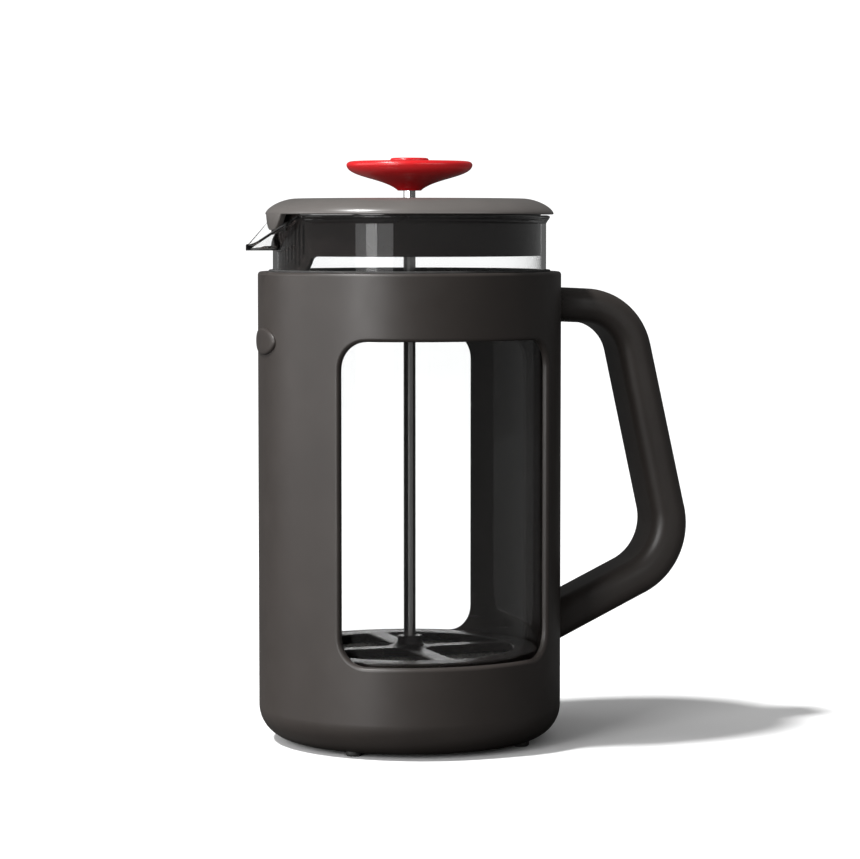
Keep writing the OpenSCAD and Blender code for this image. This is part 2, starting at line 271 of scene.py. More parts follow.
def lathe(name, profile, columns=160, place=(0, 0)):
    """A solid of revolution from a profile of (radius, height). Points on the axis make poles."""
    rows = [Vector(p) for p in profile]
    verts, faces = [], []
    for p in rows:
        for j in range(columns):
            a = math.tau * j / columns
            verts.append((place[0] + p.x * math.cos(a), place[1] + p.x * math.sin(a), p.y))
    for i in range(len(rows)):
        if rows[i].x < ON_AXIS and rows[(i + 1) % len(rows)].x < ON_AXIS:
            continue
        faces += [strip_face(i, j, columns, rows) for j in range(columns)]
    return make(name, verts, faces)


def skin(rings, closed_rings=True, closed_loop=False):
    """Quads between rings of equal length: rings is a list of lists of points."""
    n = len(rings[0])
    verts = [p for ring in rings for p in ring]
    faces = []
    last = len(rings) if closed_loop else len(rings) - 1
    for i in range(last):
        k = (i + 1) % len(rings)
        for j in range(n if closed_rings else n - 1):
            m = (j + 1) % n
            faces.append([i * n + j, i * n + m, k * n + m, k * n + j])
    return verts, faces


def merge(*patches):
    """Several (points, faces) patches as one."""
    verts, faces = [], []
    for v, f in patches:
        base = len(verts)
        verts.extend(v)
        faces.extend([[i + base for i in face] for face in f])
    return verts, faces


def soften_edges(ob, size, sharp=50):
    """Rounds the edges where faces meet more sharply than an angle."""
    bm = bmesh.new()
    bm.from_mesh(ob.data)
    edges = [e for e in bm.edges if e.calc_face_angle(0) > math.radians(sharp)]
    bmesh.ops.bevel(bm, geom=edges, offset=size * MM, segments=3, profile=0.5, affect="EDGES",
                    clamp_overlap=True)
    bm.to_mesh(ob.data)
    bm.free()


def round_normals(ob, radii, sharp=35):
    """Exact normals where a piece is a true cylinder about Z: radii are (radius, +1 out or -1 in)."""
    mesh = ob.data
    mesh.set_sharp_from_angle(angle=math.radians(sharp))
    normals = [Vector(n.vector) for n in mesh.corner_normals]
    for face in mesh.polygons:
        for i in face.loop_indices:
            co = mesh.vertices[mesh.loops[i].vertex_index].co
            rho = math.hypot(co.x, co.y) / MM
            for r, way in radii:
                radial = Vector((co.x, co.y, 0)).normalized() * way
                if abs(rho - r) < 0.03 and face.normal.dot(radial) > 0.9:
                    normals[i] = radial
    mesh.normals_split_custom_set(normals)


# ---------------------------------------------------------------- materials

def material(name):
    mat = bpy.data.materials.new(name)
    mat.use_nodes = True
    tree = mat.node_tree
    shader = tree.nodes["Principled BSDF"]
    return mat, tree, shader


def fill(tree, node, **inputs):
    """Sets a node's inputs. A socket is linked, and anything else is a value."""
    for key, value in inputs.items():
        socket = node.inputs[key.replace("_", " ")]
        if isinstance(value, bpy.types.NodeSocket):
            tree.links.new(value, socket)
        else:
            socket.default_value = value
    return node


def add(tree, kind, **inputs):
    return fill(tree, tree.nodes.new(kind), **inputs)


def mix_shaders(tree, factor, a, b):
    node = add(tree, "ShaderNodeMixShader", Fac=factor)
    tree.links.new(a.outputs[0], node.inputs[1])
    tree.links.new(b.outputs[0], node.inputs[2])
    return node


def noise(tree, scale, detail=3.0, stretch=(1, 1, 1), rough=0.5):
    """Noise in the piece's own coordinates, at so many cells a metre."""
    where = add(tree, "ShaderNodeTexCoord").outputs["Object"]
    mapping = add(tree, "ShaderNodeMapping", Scale=stretch, Vector=where)
    tex = add(tree, "ShaderNodeTexNoise", Vector=mapping.outputs["Vector"], Scale=scale, Detail=detail,
              Roughness=rough)
    return tex.outputs["Fac"]


def spread(tree, factor, low, high):
    """Maps a factor's middle half to low..high."""
    node = add(tree, "ShaderNodeMapRange", Value=factor, From_Min=0.3, From_Max=0.7, To_Min=low, To_Max=high)
    return node.outputs["Result"]


def blend_colours(tree, factor, a, b):
    node = tree.nodes.new("ShaderNodeMix")
    node.data_type = "RGBA"
    node.inputs["A"].default_value = (*a, 1)
    node.inputs["B"].default_value = (*b, 1)
    tree.links.new(factor, node.inputs["Factor"])
    return node.outputs["Result"]


def bump(tree, shader, height, strength, distance, under=None):
    node = add(tree, "ShaderNodeBump", Height=height, Strength=strength, Distance=distance)
    if under is not None:
        tree.links.new(under, node.inputs["Normal"])
    tree.links.new(node.outputs["Normal"], shader.inputs["Normal"])
    return node.outputs["Normal"]


def moulded(name, colour, rough, grain=0.25, vary=0.08, cells=2600):
    """Moulded plastic: a fine spark-eroded grain, a slow wave in the skin, and a little change of tone."""
    mat, tree, shader = material(name)
    tone = spread(tree, noise(tree, 45, 2), 0, 1)
    dark = tuple(c * (1 - vary) for c in colour)
    light = tuple(c * (1 + vary) for c in colour)
    polish = spread(tree, noise(tree, 120, 4), rough * 0.92, rough * 1.08)
    fill(tree, shader, Base_Color=blend_colours(tree, tone, dark, light), Roughness=polish, IOR=1.5)
    wave = bump(tree, shader, noise(tree, 60, 1), 0.12, 0.0004)
    bump(tree, shader, noise(tree, cells, 2), grain, 0.00004, wave)
    return mat


def rubber(name):
    mat, tree, shader = material(name)
    tone = spread(tree, noise(tree, 300, 4), 0, 1)
    fill(tree, shader, Base_Color=blend_colours(tree, tone, (0.012, 0.012, 0.012), (0.03, 0.029, 0.028)),
         Roughness=spread(tree, noise(tree, 700, 3), 0.62, 0.8))
    bump(tree, shader, noise(tree, 3200, 3), 0.35, 0.00006)
    return mat


def metal(name, dark, light, rough, along=(1, 1, 0.02), cells=5000):
    """Drawn or turned metal: streaks that are long where `along` is small."""
    mat, tree, shader = material(name)
    streak = noise(tree, cells, 3, along)
    polish = spread(tree, noise(tree, cells * 0.7, 2, along), rough * 0.75, rough * 1.25)
    fill(tree, shader, Base_Color=blend_colours(tree, spread(tree, streak, 0, 1), dark, light),
         Roughness=polish, Metallic=1.0)
    bump(tree, shader, streak, 0.15, 0.00001)
    return mat


def clear(name):
    """Clear polished plastic. Lamps shine through it, so that what it holds is lit."""
    mat, tree, shader = material(name)
    haze = spread(tree, noise(tree, 140, 3), 0.0, 0.03)
    fill(tree, shader, Base_Color=(0.985, 0.99, 0.99, 1), Transmission_Weight=1.0, IOR=1.49, Roughness=haze)
    bump(tree, shader, noise(tree, 35, 1), 0.05, 0.0003)
    shadow = add(tree, "ShaderNodeLightPath").outputs["Is Shadow Ray"]
    through = add(tree, "ShaderNodeBsdfTransparent", Color=(0.62, 0.62, 0.62, 1))
    mix = mix_shaders(tree, shadow, shader, through)
    fill(tree, tree.nodes["Material Output"], Surface=mix.outputs[0])
    return mat


BODY = moulded("body_plastic", (0.034, 0.0285, 0.0255), 0.42)
LID = moulded("lid_plastic", (0.09, 0.083, 0.078), 0.3, grain=0.12)
DARK = moulded("dark_plastic", (0.016, 0.013, 0.012), 0.12, grain=0.04)
RED = moulded("red_plastic", (0.52, 0.008, 0.011), 0.3, grain=0.2)
RUBBER = rubber("soft_rubber")
STEEL = metal("drawn_steel", (0.62, 0.61, 0.6), (0.8, 0.79, 0.78), 0.13)
WIRE = metal("wire_steel", (0.42, 0.41, 0.4), (0.6, 0.59, 0.57), 0.3, (1, 1, 1), 900)
BRASS = metal("turned_brass", (0.5, 0.34, 0.12), (0.72, 0.52, 0.22), 0.28, (0.05, 0.05, 1), 6000)
CLEAR = clear("clear_plastic")


def finish_piece(ob, mat, slot, body, *nodes):
    ob.data.materials.clear()
    ob.data.materials.append(mat)
    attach(ob, body)
    if nodes:
        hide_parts(*nodes)
    return ob


# ---------------------------------------------------------------- sleeve

WINDOW_SPAN = 57.0           # half-angle of the patch of skin round each window
ARC_STEPS = 5                # in half a window corner
WIDE_STEPS, TALL_STEPS = 16, 22
SIDE_STEPS = 22              # columns of skin between the windows
EDGE_STEPS = 6               # in a window's rounded edge
SKIN_SHARES = (1, 0.66, 0.33)    # rows of skin between a patch's border and the cut
CUT_SHARES = (0.12, 0.5, 0.88)   # rows of the cut, from the outer skin to the inner
OUTER_BAND = (22.0, 159.0)       # heights of the windows' patches in the outer skin
INNER_BAND = (20.0, 158.0)


def window_outline():
    """Points and outward normals round a window, unrolled from the cylinder of radius WINDOW_ARM, from the
    middle of the lower left corner."""
    cx = WINDOW_ARM * WINDOW_TURN - WINDOW_CORNER
    low, high = WINDOW_LOW + WINDOW_CORNER, WINDOW_HIGH - WINDOW_CORNER
    centres = [(-cx, low), (cx, low), (cx, high), (-cx, high)]
    points, normals = [], []
    for side in range(4):
        straight = WIDE_STEPS if side % 2 == 0 else TALL_STEPS
        here, there = Vector(centres[side]), Vector(centres[(side + 1) % 4])
        face = math.radians(270 + 90 * side)
        eighth = math.pi / 4
        steps = [(here, face - eighth * (1 - i / ARC_STEPS)) for i in range(ARC_STEPS)]
        steps += [(here.lerp(there, i / straight), face) for i in range(straight)]
        steps += [(there, face + eighth * i / ARC_STEPS) for i in range(ARC_STEPS)]
        for centre, a in steps:
            normals.append(Vector((math.cos(a), math.sin(a))))
            points.append(centre + normals[-1] * WINDOW_CORNER)
    return points, normals


def patch_border(z_low, z_high):
    """(angle, height) points round a window's patch, matching window_outline point for point."""
    wide, tall = WIDE_STEPS + 2 * ARC_STEPS, TALL_STEPS + 2 * ARC_STEPS
    span = math.radians(WINDOW_SPAN)
    out = [(-span + 2 * span * i / wide, z_low) for i in range(wide)]
    out += [(span, z_low + (z_high - z_low) * i / tall) for i in range(tall)]
    out += [(span - 2 * span * i / wide, z_high) for i in range(wide)]
    out += [(-span, z_high - (z_high - z_low) * i / tall) for i in range(tall)]
    return out


def window_edge(p, n, r, edge, way):
    """The rounded edge where the cut meets the skin of radius r, as (angle, radius, height) from the skin
    to the cut. way is -1 at the outer skin, where the cut runs inwards, and +1 at the inner."""
    out = []
    for i in range(EDGE_STEPS + 1):
        t = math.pi / 2 * i / EDGE_STEPS
        q = p + n * edge * (1 - math.sin(t))
        out.append(Vector((q.x / WINDOW_ARM, r + way * edge * (1 - math.cos(t)), q.y)))
    return out


def window_patch(turn):
    """Skin, rounded cut and inner skin round one window; turn is 1 for the front and -1 for the back."""
    points, normals = window_outline()
    sides = []
    skins = ((SLEEVE_R, WINDOW_EDGE, -1, OUTER_BAND), (SLEEVE_IN, WINDOW_INNER_EDGE, 1, INNER_BAND))
    for r, edge, way, band in skins:
        edges = [window_edge(p, n, r, edge, way) for p, n in zip(points, normals)]
        border = [Vector((a, r, z)) for a, z in patch_border(*band)]
        side = [[e[0].lerp(b, s) for e, b in zip(edges, border)] for s in SKIN_SHARES]
        sides.append(side + [list(row) for row in zip(*edges)])
    middle = [[a.lerp(b, s) for a, b in zip(sides[0][-1], sides[1][-1])] for s in CUT_SHARES]
    whole = sides[0] + middle + sides[1][::-1]
    return skin([[(turn * r * math.sin(a), -turn * r * math.cos(a), z) for a, r, z in ring]
                 for ring in whole])


def sleeve_columns():
    """Angles from +X of the skin's columns, in radians, and which columns lie inside a window's patch."""
    wide = WIDE_STEPS + 2 * ARC_STEPS
    angles, inside = [], []
    for centre in (-90, 90):
        for i in range(wide):
            angles.append(centre - WINDOW_SPAN + 2 * WINDOW_SPAN * i / wide)
            inside.append(True)
        gap = 180 - 2 * WINDOW_SPAN
        for i in range(SIDE_STEPS):
            angles.append(centre + WINDOW_SPAN + gap * i / SIDE_STEPS)
            inside.append(False)
    return [math.radians(a) for a in angles], inside


def sleeve():
    tall = TALL_STEPS + 2 * ARC_STEPS
    outer_z = np.linspace(*OUTER_BAND, tall + 1)
    inner_z = np.linspace(*INNER_BAND[::-1], tall + 1)
    foot_in = SLEEVE_FOOT - SLEEVE_WALL
    corner = (SLEEVE_R - SLEEVE_FOOT, SLEEVE_BOTTOM + SLEEVE_FOOT)
    lip = RING_OUT + 0.02
    profile = [Vector((r, SLEEVE_BOTTOM)) for r in (0, 20, corner[0] - 0.3)]
    profile += arc(corner, SLEEVE_FOOT, -90, 0, 14)
    profile += [Vector((SLEEVE_R, z)) for z in (16.0, 19.0)]
    first_out = len(profile)
    profile += [Vector((SLEEVE_R, z)) for z in outer_z]
    last_out = len(profile) - 1
    profile += [Vector((SLEEVE_R, 165)), Vector((SLEEVE_R, SLEEVE_TOP - 1.5))]
    profile += arc((SLEEVE_R - 1.2, SLEEVE_TOP - 1.2), 1.2, 0, 90, 6)
    profile += rounded([(SLEEVE_R - 1.4, SLEEVE_TOP), (lip, SLEEVE_TOP, 0.3), (lip, RING_LOW)])[1:]
    ledge = ((LEDGE_IN, RING_LOW), (LEDGE_IN, RING_LOW - 3), (SLEEVE_IN, RING_LOW - 6))
    profile += [Vector(p) for p in ledge]
    first_in = len(profile)
    profile += [Vector((SLEEVE_IN, z)) for z in inner_z]
    last_in = len(profile) - 1
    profile += arc((SLEEVE_IN - foot_in, SLEEVE_FLOOR + foot_in), foot_in, 0, -90, 10)
    profile += [Vector((20, SLEEVE_FLOOR)), Vector((0, SLEEVE_FLOOR))]
    angles, inside = sleeve_columns()
    n = len(angles)
    verts = [(p.x * math.cos(a), p.x * math.sin(a), p.y) for p in profile for a in angles]
    faces = []
    for i in range(len(profile) - 1):
        banded = first_out <= i < last_out or first_in <= i < last_in
        for j in range(n):
            if not (banded and inside[j]):
                faces.append(strip_face(i, j, n, profile))
    verts, faces = merge((verts, faces), window_patch(1), window_patch(-1))
    ob = make("sleeve_shell", verts, faces)
    round_normals(ob, [(SLEEVE_R, 1), (SLEEVE_IN, -1)])
    return finish_piece(ob, BODY, "body_plastic", "frame", "sleeve")


# ---------------------------------------------------------------- handle

def handle_section(thick, wide, corner, steps=8):
    out = []
    for sx, sy, first in ((1, 1, 0), (-1, 1, 90), (-1, -1, 180), (1, -1, 270)):
        centre = (sx * (thick / 2 - corner), sy * (wide / 2 - corner))
        out += arc(centre, corner, first, first + 90, steps)
    return out


def bend(corner, way, turn, r, swell, steps):
    """Stations of a clockwise bend in the XZ plane: (point, heading in degrees, swell)."""
    a = math.radians(way)
    start = corner - Vector((math.cos(a), math.sin(a))) * r * math.tan(math.radians(turn / 2))
    centre = start + Vector((math.sin(a), -math.cos(a))) * r
    out = []
    for i in range(steps + 1):
        h = way - turn * i / steps
        b = math.radians(h + 90)
        grown = swell[0] + (swell[1] - swell[0]) * i / steps + swell[2] * math.sin(math.pi * i / steps)
        out.append((centre + Vector((math.cos(b), math.sin(b))) * r, h, grown))
    return out


def handle():
    lean = math.degrees(math.atan2(HEEL.x - KNEE.x, KNEE.y - HEEL.y))
    grip, low = lean - 90, HEEL_RISE - 180
    knee = bend(KNEE, -KNEE_DROOP, -KNEE_DROOP - grip, KNEE_R, KNEE_SWELL, 20)
    heel = bend(HEEL, grip, grip - low, HEEL_R, HEEL_SWELL, 22)
    between = [(knee[-1][0].lerp(heel[0][0], s / 6), grip, HEEL_SWELL[0] * s / 6) for s in range(1, 6)]
    stations = [knee[0]] + knee + between
    stations += heel + [heel[-1]]
    last = len(stations) - 1
    rings = []
    for i, (at, way, swell) in enumerate(stations):
        a = math.radians(way)
        ahead, across = Vector((math.cos(a), math.sin(a))), Vector((-math.sin(a), math.cos(a)))
        thick = HANDLE_T - HANDLE_SLIM * max(0, 1 - i / SLIM_STATIONS)
        insets = (0.0,)
        if i == 0:
            insets = END_INSETS
        elif i == last:
            insets = END_INSETS[::-1]
        for inset in insets:
            ring = []
            for q in handle_section(thick - 2 * inset, HANDLE_W - 2 * inset, HANDLE_CORNER - inset):
                p = at + across * (q.x + swell if q.x > 0 else q.x)
                if i in (0, last):
                    # run back along the arm to the sleeve's skin
                    gap = END_GAP + (END_INSETS[0] - inset)
                    reach = math.sqrt((SLEEVE_R + gap) ** 2 - q.y ** 2)
                    p = p + ahead * ((reach - p.x) / ahead.x)
                ring.append((p.x, q.y, p.y))
            rings.append(ring)
    verts, faces = skin(rings)
    n = len(rings[0])
    faces.append(list(range(n)))
    faces.append(list(range((len(rings) - 1) * n, len(rings) * n)))
    ob = make("handle_grip", verts, faces)
    return finish_piece(ob, BODY, "body_plastic", "frame", "handle")


# ---------------------------------------------------------------- small pieces of the frame

def badge():
    """A plain oval pad with a soft edge, bent round the sleeve."""
    low, high = cad("badge")
    half_w, half_h = (high.y - low.y) / 2, (high.z - low.z) / 2
    z = (high.z + low.z) / 2
    proud = -low.x - SLEEVE_R
    stations = [(0.0, proud), (0.3, proud), (0.6, proud), (0.8, proud - 0.02), (0.9, proud - 0.08),
                (0.95, proud - 0.2), (0.985, proud - 0.42), (1.0, proud - 0.7), (1.0, -0.4)]
    sides = 64
    rings = []
    for s, h in stations:
        ring = []
        for j in range(sides):
            a = math.tau * j / sides
            u = s * half_w * math.cos(a)
            angle = math.asin(u / SLEEVE_R)
            r = SLEEVE_R + h
            ring.append((-r * math.cos(angle), r * math.sin(angle), z + s * half_h * math.sin(a)))
        rings.append(ring)
    verts, faces = skin(rings)
    faces.append(list(range((len(rings) - 1) * sides, len(rings) * sides)))
    ob = make("badge_pad", verts, faces)
    return finish_piece(ob, BODY, "body_plastic", "frame", "badge")


def feet():
    """Four round buttons under the sleeve."""
    ring, r, corner, top = 45, 3, 0.8, 2.5
    profile = [(0, 0), (2, 0)] + arc((r - corner, corner), corner, -90, 0, 5) + [(r, top), (0, top)]
    parts = []
    for k in range(4):
        a = math.radians(45 + 90 * k)
        parts.append(lathe(f"foot_{k}", profile, 40, (ring * math.cos(a), ring * math.sin(a))))
    return finish_piece(join("feet_buttons", parts), RUBBER, "soft_rubber", "frame", "feet")


def collar():
    """The soft bead in the sleeve's mouth."""
    inner = CARAFE_R + 0.3
    profile = rounded([(inner, RING_LOW, 0.2), (RING_OUT, RING_LOW, 0.2), (RING_OUT, RING_TOP, 0.55),
                       (inner, RING_TOP, 0.45)])
    ob = lathe("collar_bead", profile, 192)
    return finish_piece(ob, RUBBER, "soft_rubber", "frame", "collar_ring")


def base_pad():
    """The soft ring that the carafe stands on."""
    low, high = cad("base_pad")
    hole = 24
    profile = rounded([(hole, low.z, 0.3), (high.x, low.z, 0.3), (high.x, high.z, 0.5), (hole, high.z, 0.5)])
    return finish_piece(lathe("base_cushion", profile, 128), RUBBER, "soft_rubber", "frame", "base_pad")


# ---------------------------------------------------------------- carafe

FINE_HALF = 30.0             # half-angle of the finely divided part, round the spout
FINE_STEPS, COARSE_STEPS = 96, 120


def spout_outline(angle, wall):
    """Radius of the carafe's plan at an angle from the spout's middle, moved inwards by wall."""
    r = CARAFE_R - wall
    a = abs(angle)
    if a > math.radians(SPOUT_HALF + 9):
        return r
    tip = Vector((SPOUT_REACH - SPOUT_TIP_R, 0))
    half = math.radians(SPOUT_HALF)
    root = Vector((CARAFE_R * math.cos(half), CARAFE_R * math.sin(half)))
    # the side is tangent to the tip's circle and goes through the root
    reach = tip - root
    swing = math.asin(SPOUT_TIP_R / reach.length)
    base = math.atan2(reach.y, reach.x)
    side = Vector((math.cos(base + swing), math.sin(base + swing)))
    normal = Vector((-side.y, side.x))
    if normal.x < 0:
        normal = -normal
    start = root - normal * wall
    ray = Vector((math.cos(a), math.sin(a)))
    # distance along the ray to the side's line
    flat = start.dot(normal) / ray.dot(normal)
    touch = tip + normal * (SPOUT_TIP_R - wall)
    if a < math.atan2(touch.y, touch.x):
        b = ray.dot(tip)
        flat = b + math.sqrt(b * b - tip.dot(tip) + (SPOUT_TIP_R - wall) ** 2)
    if flat <= 0:
        return r
    return r * (1 + (flat / r) ** ROOT_POWER) ** (1 / ROOT_POWER)


def trough(y, wall):
    """Height of the spout's trough at a distance y from its middle, on its outside or wall inside it."""
    r = KEEL_R - wall
    if abs(y) <= r * math.sin(SPOUT_SLOPE):
        return KEEL_Z - math.sqrt(r * r - y * y)
    return KEEL_Z - r / math.cos(SPOUT_SLOPE) + abs(y) * math.tan(SPOUT_SLOPE)


def softened(start, corner, end, reach, steps=4):
    """The way from start round a corner towards end, cut by a curve that begins reach before the corner."""
    before = corner + (start - corner).normalized() * reach
    after = corner.lerp(end, min(0.5, reach / max((end - corner).length, 1e-6)))
    return bezier(before, before.lerp(corner, 0.6), after.lerp(corner, 0.6), after, steps)


def carafe_profile(angle):
    """The wall's outline at an angle from the spout's middle: (radius, height) from the outer wall over the
    rim to the inner wall. Every angle has the same number of points."""
    side = abs(math.sin(angle)) if math.cos(angle) > 0 else 1.0
    out_r, in_r = spout_outline(angle, 0), spout_outline(angle, CARAFE_WALL)
    wall_r = CARAFE_R - CARAFE_WALL
    # share is 0 in the spout and 1 round the rest of the rim
    share = np.clip((math.degrees(abs(angle)) - SPOUT_HALF + 0.5) / 4.5, 0, 1)
    share = float(share * share * (3 - 2 * share))
    slope = (CARAFE_TOP - SPOUT_TIP_TOP) / (CARAFE_R * math.sin(math.radians(SPOUT_HALF)) - TIP_HALF)
    top = min(CARAFE_TOP, SPOUT_TIP_TOP + slope * max(0.0, out_r * side - TIP_HALF))

    root = Vector((CARAFE_R, min(trough(CARAFE_R * side, 0), CARAFE_TOP - 0.6) * (1 - share)
                   + (CARAFE_TOP - 3.4) * share))
    edge = Vector((out_r, min(trough(out_r * side, 0), top - 0.25) * (1 - share)
                   + (CARAFE_TOP - 3.0) * share))
    lip = Vector((in_r, min(trough(in_r * side, CARAFE_WALL), CARAFE_TOP - 0.5) * (1 - share)
                  + (CARAFE_TOP - 0.6) * share))
    well = Vector((wall_r, min(trough(wall_r * side, CARAFE_WALL), CARAFE_TOP - 1.0) * (1 - share)
                   + (CARAFE_TOP - 1.2) * share))
    crest = max(top, lip.y + 0.12)
    flare, span = RIM_FLARE * share, top - edge.y
    rows = [Vector((CARAFE_R, WALL_MIDDLE)), Vector((CARAFE_R, WALL_UPPER))]
    rows += softened(rows[-1], root, edge, 1.0)
    rows += [root.lerp(edge, s) for s in (0.7, 1.0)]
    lip_shape = ((0.35, 0.3), (0.8, 0.58), (1, 0.78))
    rows += [Vector((out_r + flare * a, edge.y + span * b)) for a, b in lip_shape]
    rows += [Vector((out_r + flare * 0.9 - 0.08, edge.y + span * 0.93)),
             Vector((out_r + flare * 0.5 - 0.35, top + (crest - top) * 0.12)),
             Vector((in_r + 0.5, crest)), Vector((in_r + 0.15, crest - (crest - lip.y) * 0.3)), lip]
    rows += [lip.lerp(well, s) for s in (0.3, 0.7)]
    rows += softened(lip, well, Vector((wall_r, WALL_UPPER)), 0.4)
    rows += [Vector((wall_r, WALL_UPPER)), Vector((wall_r, WALL_MIDDLE))]
    return rows


def carafe():
    turns = list(np.linspace(-FINE_HALF, FINE_HALF, FINE_STEPS + 1))
    turns += list(np.linspace(FINE_HALF, 360 - FINE_HALF, COARSE_STEPS + 1))[1:-1]
    foot = CARAFE_FOOT
    low = CARAFE_LOW.z
    under = [Vector((0, low + 1.2)), Vector((20, low + 1.2)), Vector((34, low + 0.8)), Vector((38, low))]
    under += arc((CARAFE_R - foot, low + foot), foot, -90, 0, 12)
    in_r = CARAFE_R - CARAFE_WALL
    floor = low + 2.5
    inside = arc((in_r - foot, floor + foot), foot, 0, -90, 12)
    inside += [Vector((20, floor + 0.3)), Vector((0, floor + 0.4))]
    columns = []
    for degrees in turns:
        a = math.radians(degrees)
        profile = under + carafe_profile(a if a < math.pi else a - math.tau) + inside
        columns.append([(-p.x * math.cos(a), -p.x * math.sin(a), p.y) for p in profile])
    verts, faces = skin(columns, closed_rings=False, closed_loop=True)
    ob = make("carafe_beaker", verts, faces)
    round_normals(ob, [(CARAFE_R, 1), (in_r, -1)], 60)
    return finish_piece(ob, CLEAR, "clear_plastic", "carafe", "carafe")


# ---------------------------------------------------------------- lid

def lid_cover():
    """The dome, with the tab that hangs from its edge into the spout's mouth."""
    power = 2 / LID_EDGE_POWER
    edge = [Vector((LID_FLAT_R + (LID_R - LID_FLAT_R) * math.cos(t) ** power,
                    LID_EDGE + (LID_TOP - LID_EDGE) * math.sin(t) ** power))
            for t in (math.pi / 2 * i / 24 for i in range(1, 25))]
    top = [Vector((r, LID_TOP)) for r in (36, 20, LID_HOLE + 0.4)]
    top += [Vector((LID_HOLE, LID_TOP - 0.25))]
    inside = ((LID_HOLE, LID_UNDER), (43, LID_UNDER), (48.4, 194.3), (TAB_IN - 0.02, 193.2))
    under = [Vector(p) for p in inside]
    turns, heights = zip(*TAB_EDGE)
    tab = turns[-1]
    betas = list(np.linspace(-tab, tab, 41)) + list(np.linspace(tab, 360 - tab, 151))[1:-1]
    columns = []
    for degrees in betas:
        a = math.radians(degrees)
        off = min(abs(degrees), 360 - abs(degrees))
        low = LID_LOW - (LID_LOW - TAB_LOW) * float(np.interp(off, turns, heights))
        rim = [Vector((TAB_IN, low + 0.35)), Vector((TAB_IN + 0.1, low + 0.1)), Vector((TAB_IN + 0.35, low)),
               Vector((LID_R - 0.45, low)), Vector((LID_R - 0.15, low + 0.05)), Vector((LID_R, low + 0.3)),
               Vector((LID_R, LID_EDGE))]
        profile = rim + edge + top + under
        columns.append([(-p.x * math.cos(a), -p.x * math.sin(a), p.y) for p in profile])
    verts, faces = skin(columns, closed_rings=True, closed_loop=True)
    ob = make("lid_dome", verts, faces)
    sharpen(ob, 50)
    return finish_piece(ob, LID, "lid_plastic", "lid", "lid_cover")


def panel_bottom(y):
    """Height of the skirt's lower edge at a distance y from the middle of the strainer panel."""
    y = abs(y)
    if y <= PANEL_CORNER_Y:
        return PANEL_LOW
    corner_z, fillet_z = PANEL_LOW + PANEL_CORNER, SKIRT_LOW - PANEL_FILLET
    both = PANEL_CORNER + PANEL_FILLET
    reach = math.sqrt(both ** 2 - (corner_z - fillet_z) ** 2)
    if y >= PANEL_CORNER_Y + reach:
        return SKIRT_LOW
    if y >= PANEL_CORNER_Y + reach * PANEL_CORNER / both:
        return fillet_z + math.sqrt(PANEL_FILLET ** 2 - (PANEL_CORNER_Y + reach - y) ** 2)
    return corner_z - math.sqrt(PANEL_CORNER ** 2 - (y - PANEL_CORNER_Y) ** 2)


def slot_bottom(y):
    y = max(0.0, abs(y) - PANEL_CORNER_Y)
    return PANEL_LOW + PANEL_CORNER - math.sqrt(SLOT_CORNER ** 2 - min(y, SLOT_CORNER - 0.05) ** 2)


def skirt_columns():
    """Angles from the spout, in degrees, and whether a slot lies between each and the next."""
    half = math.degrees(SLOT_W / 2 / SKIRT_R)
    angles, open_after = [], []
    for i in range(-(SLOTS // 2), SLOTS // 2 + 1):
        angles += [i * SLOT_PITCH - half, i * SLOT_PITCH + half]
        open_after += [True, False]
    edge = list(np.arange(angles[-1] + 0.4, PANEL_SPAN - 0.3, 0.35))
    rest = list(np.linspace(PANEL_SPAN, 360 - PANEL_SPAN, 121))
    tail = [360 - e for e in edge[::-1]]
    for a in edge + rest + tail:
        angles.append(a)
        open_after.append(False)
    return angles, open_after


def lid_skirt():
    angles, slotted = skirt_columns()
    n = len(angles)
    sheets = []
    for r in (SKIRT_R, SKIRT_R - SKIRT_WALL):
        rows = []
        for k in range(4):
            row = []
            for degrees in angles:
                a = math.radians(degrees)
                y = SKIRT_R * math.sin(a) if math.cos(a) > 0 else SKIRT_R
                bottom = panel_bottom(y)
                slot = slot_bottom(y) if abs(y) < SLOT_REACH and math.cos(a) > 0 else SKIRT_LOW + 3
                z = (bottom, max(slot, bottom + 0.8), SLOT_TOP, SKIRT_DISC - 0.9)[k]
                row.append((-r * math.cos(a), -r * math.sin(a), z))
            rows.append(row)
        sheets.append(rows)
    outer, inner = ([p for row in rows for p in row] for rows in sheets)
    m = len(outer)
    faces = []
    edges = {}
    for k in range(3):
        for j in range(n):
            if k == 1 and slotted[j]:
                continue
            i = (j + 1) % n
            quad = [k * n + j, k * n + i, (k + 1) * n + i, (k + 1) * n + j]
            faces.append(quad)
            faces.append([q + m for q in quad[::-1]])
            for e in zip(quad, quad[1:] + quad[:1]):
                edges[tuple(sorted(e))] = edges.get(tuple(sorted(e)), 0) + 1
    for (a, b), uses in edges.items():
        if uses == 1:
            faces.append([a, b, b + m, a + m])
    wall = make("skirt_wall", outer + inner, faces)
    soften_edges(wall, 0.16)
    round_normals(wall, [(SKIRT_R, 1), (SKIRT_R - SKIRT_WALL, -1)], 40)
    finish_piece(wall, DARK, "dark_plastic", "lid", "lid_skirt")
    in_r = SKIRT_R - SKIRT_WALL
    deck_top = LID_UNDER - 0.05
    deck = rounded([(LID_HOLE, SKIRT_DISC, 0.2), (in_r - 4.2, SKIRT_DISC, 2), (in_r + 0.4, SKIRT_DISC - 2.3),
                    (SKIRT_R - 0.1, SKIRT_DISC - 0.92), (SKIRT_R - 1, SKIRT_DISC - 0.3, 0.2),
                    (43, deck_top, 0.3), (LID_HOLE, deck_top, 0.2)])
    ob = lathe("skirt_deck", deck)
    sharpen(ob, 50)
    finish_piece(ob, DARK, "dark_plastic", "lid")
    return wall


